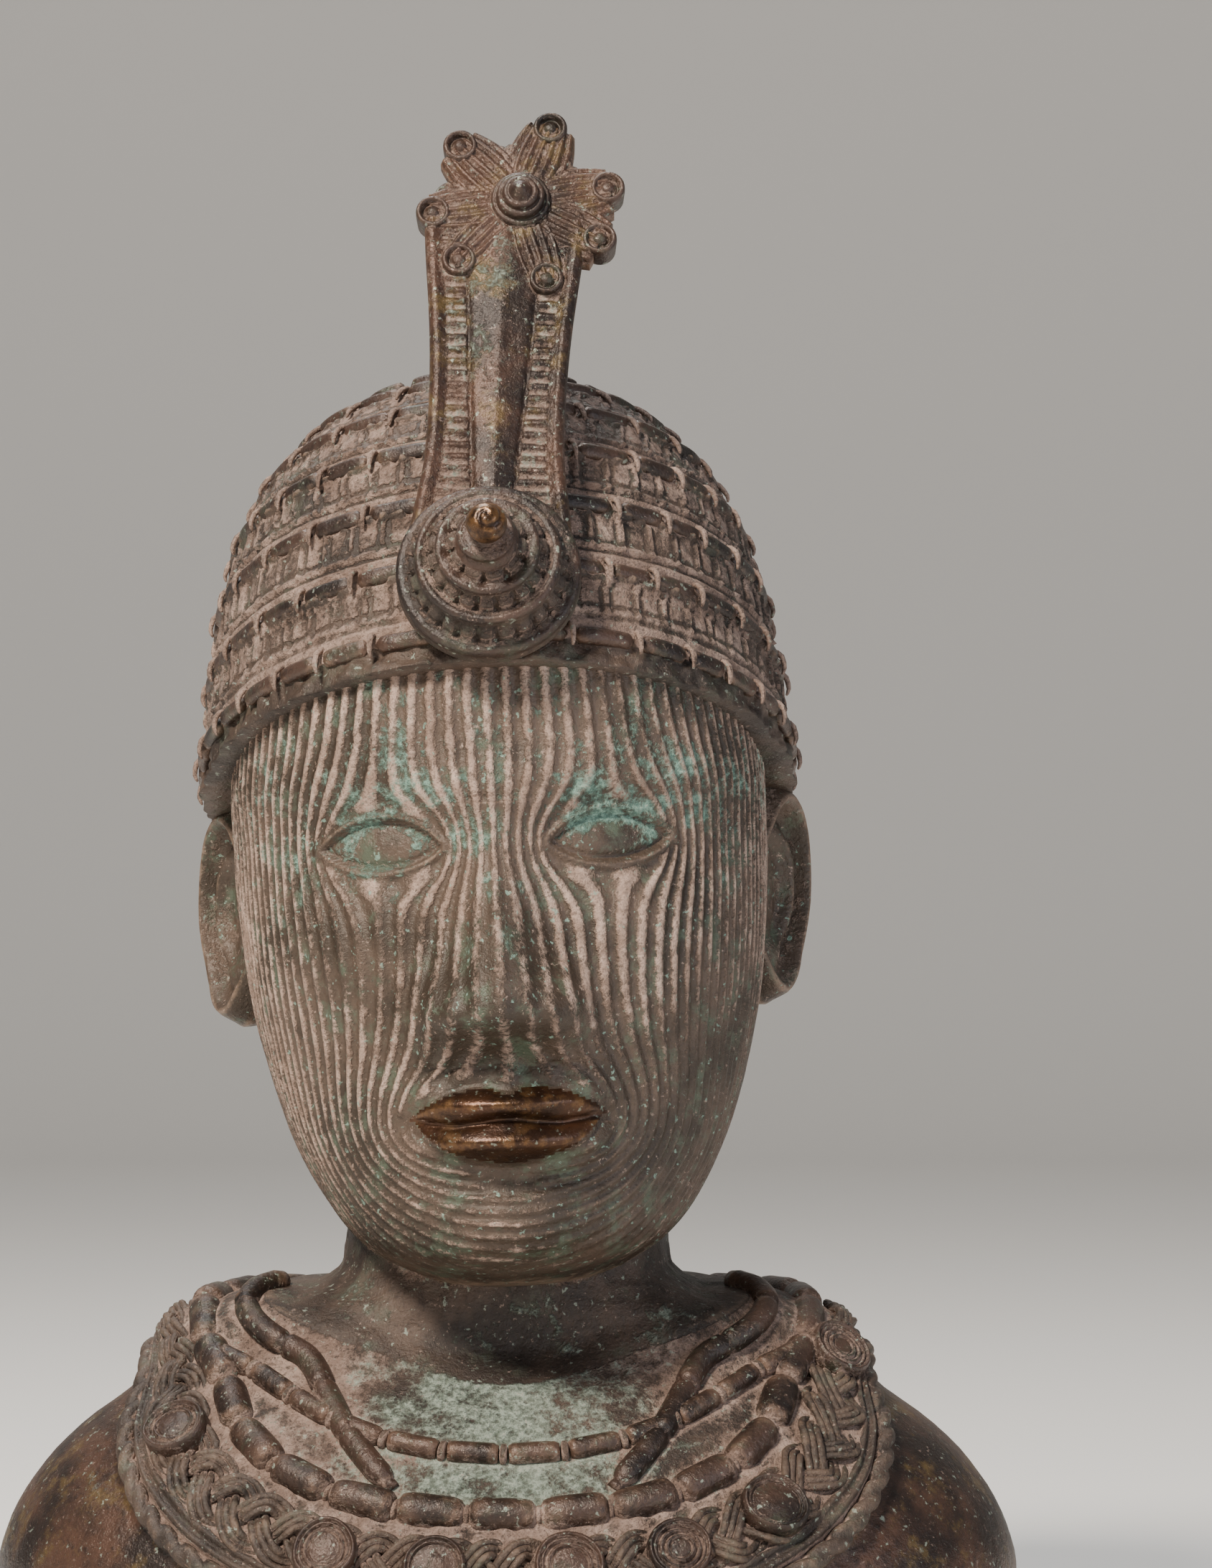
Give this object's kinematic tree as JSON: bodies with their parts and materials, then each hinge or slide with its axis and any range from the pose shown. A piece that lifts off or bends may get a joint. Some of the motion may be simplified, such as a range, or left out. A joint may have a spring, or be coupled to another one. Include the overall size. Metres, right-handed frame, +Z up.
{
  "type": "bronze bust",
  "caption": "Cast bronze bust with a ridged cap, a tall leaning crest with a rosette, and a beaded and plaited collar; stands on its flat underside.",
  "frame": {"origin": "middle of the flat underside, on the surface that the bust stands on", "axes": "+Z up, the bust faces -Y, +X is to the right of a person who looks at its face"},
  "size_m": [0.262, 0.2246, 0.4107],
  "materials": {
    "bronze": "dark brown patinated cast bronze with verdigris and pinkish dirt in its recesses"
  },
  "bodies": {
    "root": {"bust": "bronze"}
  },
  "joints": []
}
